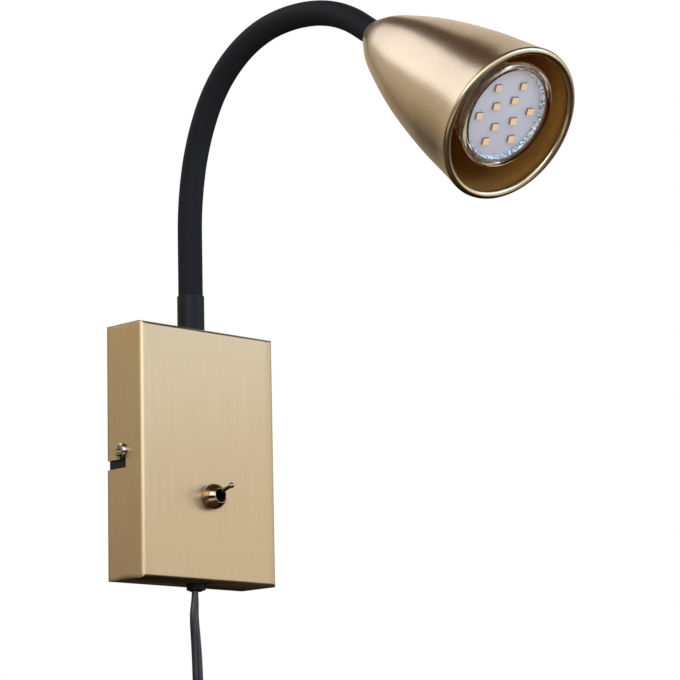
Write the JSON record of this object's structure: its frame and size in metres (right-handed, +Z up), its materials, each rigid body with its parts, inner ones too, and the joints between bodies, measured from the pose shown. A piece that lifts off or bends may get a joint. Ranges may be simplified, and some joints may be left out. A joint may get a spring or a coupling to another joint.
{
  "type": "flexible wall lamp",
  "caption": "Wall lamp: brushed box with toggle switch, bendable black arm, satin bell shade with reflector bulb, and a flat lead with plug.",
  "frame": {"origin": "on the wall plane, at the middle of the box's back", "axes": "+X right seen from the room, +Y into the wall, +Z up"},
  "size_m": [0.1074, 0.2456, 0.4971],
  "materials": {
    "brushed_brass_sheet": "vertical brushed, brass coloured",
    "zinc_sheet": "zinc plated",
    "black_sheet": "black powder coat",
    "chrome_screw": "polished",
    "bronze_nut": "polished",
    "plated_steel": "turned",
    "polished_steel": "polished dark",
    "brass_parts": "turned",
    "black_plastic": "fine matt",
    "cream_plastic": "moulded",
    "black_rubber": "matt silicone sleeve",
    "gooseneck_steel": "wound steel",
    "satin_gold_shade": "satin gold, spun",
    "glass_cup": "moulded",
    "glass_window": "clear",
    "white_board": "solder resist",
    "amber_chip": "phosphor",
    "white_base": "moulded",
    "holder_ceramic": "steatite",
    "wire_sleeve": "extruded",
    "cord_jacket": "extruded"
  },
  "bodies": {
    "base": {"cover": "brushed_brass_sheet", "wall_bracket": "black_sheet", "cover_screws": "chrome_screw", "switch_dome_nut": "bronze_nut", "switch_bushing": "plated_steel", "switch_pivot_pin": "plated_steel", "switch_inner_nut": "plated_steel", "switch_body": "black_plastic", "switch_terminals": "brass_parts", "terminal_block": "cream_plastic", "terminal_screws": "plated_steel", "arm_nipple": "brass_parts", "arm_washer": "plated_steel", "arm_lock_nut": "plated_steel", "arm_ferrule": "black_plastic", "arm_foot_sleeve": "black_rubber", "arm_foot_core": "gooseneck_steel", "cord_gland": "black_plastic", "gland_nut": "black_plastic", "supply_wires": "wire_sleeve", "switch_wire": "wire_sleeve", "lamp_wires": "wire_sleeve", "cord_lead": "cord_jacket", "cord_coil": "cord_jacket", "cord_tie": "black_plastic", "plug_body": "black_plastic", "plug_pins": "plated_steel"},
    "arm_link_1": {"arm_sleeve_1": "black_rubber", "arm_core_1": "gooseneck_steel"},
    "arm_link_2": {"arm_sleeve_2": "black_rubber", "arm_core_2": "gooseneck_steel"},
    "arm_link_3": {"arm_sleeve_3": "black_rubber", "arm_core_3": "gooseneck_steel"},
    "arm_link_4": {"arm_sleeve_4": "black_rubber", "arm_core_4": "gooseneck_steel"},
    "arm_link_5": {"arm_sleeve_5": "black_rubber", "arm_core_5": "gooseneck_steel"},
    "arm_link_6": {"arm_sleeve_6": "black_rubber", "arm_core_6": "gooseneck_steel"},
    "arm_link_7": {"arm_sleeve_7": "black_rubber", "arm_core_7": "gooseneck_steel"},
    "head": {"arm_end_sleeve": "black_rubber", "shade": "satin_gold_shade", "shade_nipple": "brass_parts", "neck_nut": "plated_steel", "holder_carrier": "zinc_sheet", "lampholder": "holder_ceramic", "holder_contacts": "brass_parts", "holder_screws": "plated_steel", "holder_wires": "wire_sleeve"},
    "bulb": {"bulb_cup": "glass_cup", "bulb_window": "glass_window", "bulb_board": "white_board", "bulb_chips": "amber_chip", "bulb_base": "white_base", "bulb_pins": "plated_steel"},
    "lever": {"switch_lever": "polished_steel"}
  },
  "joints": [
    {"name": "arm_lower_bend", "type": "hinge", "parent": "base", "child": "arm_link_1", "pos_m": [0, -0.0125, 0.0805], "axis": [1, 0, 0], "range_deg": [-4, 15]},
    {"name": "arm_lower_side", "type": "hinge", "parent": "arm_link_1", "child": "arm_link_2", "pos_m": [0, -0.0125, 0.11114], "axis": [0, -1, 0], "range_deg": [-15, 15]},
    {"name": "arm_lower_bend_b", "type": "hinge", "parent": "arm_link_2", "child": "arm_link_3", "pos_m": [0, -0.0157, 0.14156], "axis": [1, 0, 0], "range_deg": [-4, 15]},
    {"name": "arm_lower_side_b", "type": "hinge", "parent": "arm_link_3", "child": "arm_link_4", "pos_m": [0, -0.02639, 0.17015], "axis": [0, -0.8746, -0.4848], "range_deg": [-15, 15]},
    {"name": "arm_upper_bend", "type": "hinge", "parent": "arm_link_4", "child": "arm_link_5", "pos_m": [0, -0.04699, 0.19243], "axis": [1, 0, 0], "range_deg": [-30, 20]},
    {"name": "arm_upper_side", "type": "hinge", "parent": "arm_link_5", "child": "arm_link_6", "pos_m": [0, -0.07555, 0.20269], "axis": [0, -0.1045, -0.9945], "range_deg": [-20, 20]},
    {"name": "arm_upper_bend_b", "type": "hinge", "parent": "arm_link_6", "child": "arm_link_7", "pos_m": [0, -0.10601, 0.20096], "axis": [1, 0, 0], "range_deg": [-30, 20]},
    {"name": "arm_upper_side_b", "type": "hinge", "parent": "arm_link_7", "child": "head", "pos_m": [0, -0.13368, 0.18835], "axis": [0, 0.5948, -0.8039], "range_deg": [-20, 20]},
    {"name": "switch_toggle", "type": "hinge", "parent": "base", "child": "lever", "pos_m": [0, -0.0275, -0.0203], "axis": [1, 0, 0], "range_deg": [0, 34.8]},
    {"name": "bulb_twist", "type": "hinge", "parent": "head", "child": "bulb", "pos_m": [0, -0.22625, 0.12296], "axis": [0, -0.8039, -0.5948], "range_deg": [0, 20]}
  ],
  "couplings": [
    {"joint": "arm_lower_bend_b", "follows": "arm_lower_bend", "ratio": 1},
    {"joint": "arm_lower_side_b", "follows": "arm_lower_side", "ratio": 1},
    {"joint": "arm_upper_bend_b", "follows": "arm_upper_bend", "ratio": 1},
    {"joint": "arm_upper_side_b", "follows": "arm_upper_side", "ratio": 1}
  ]
}
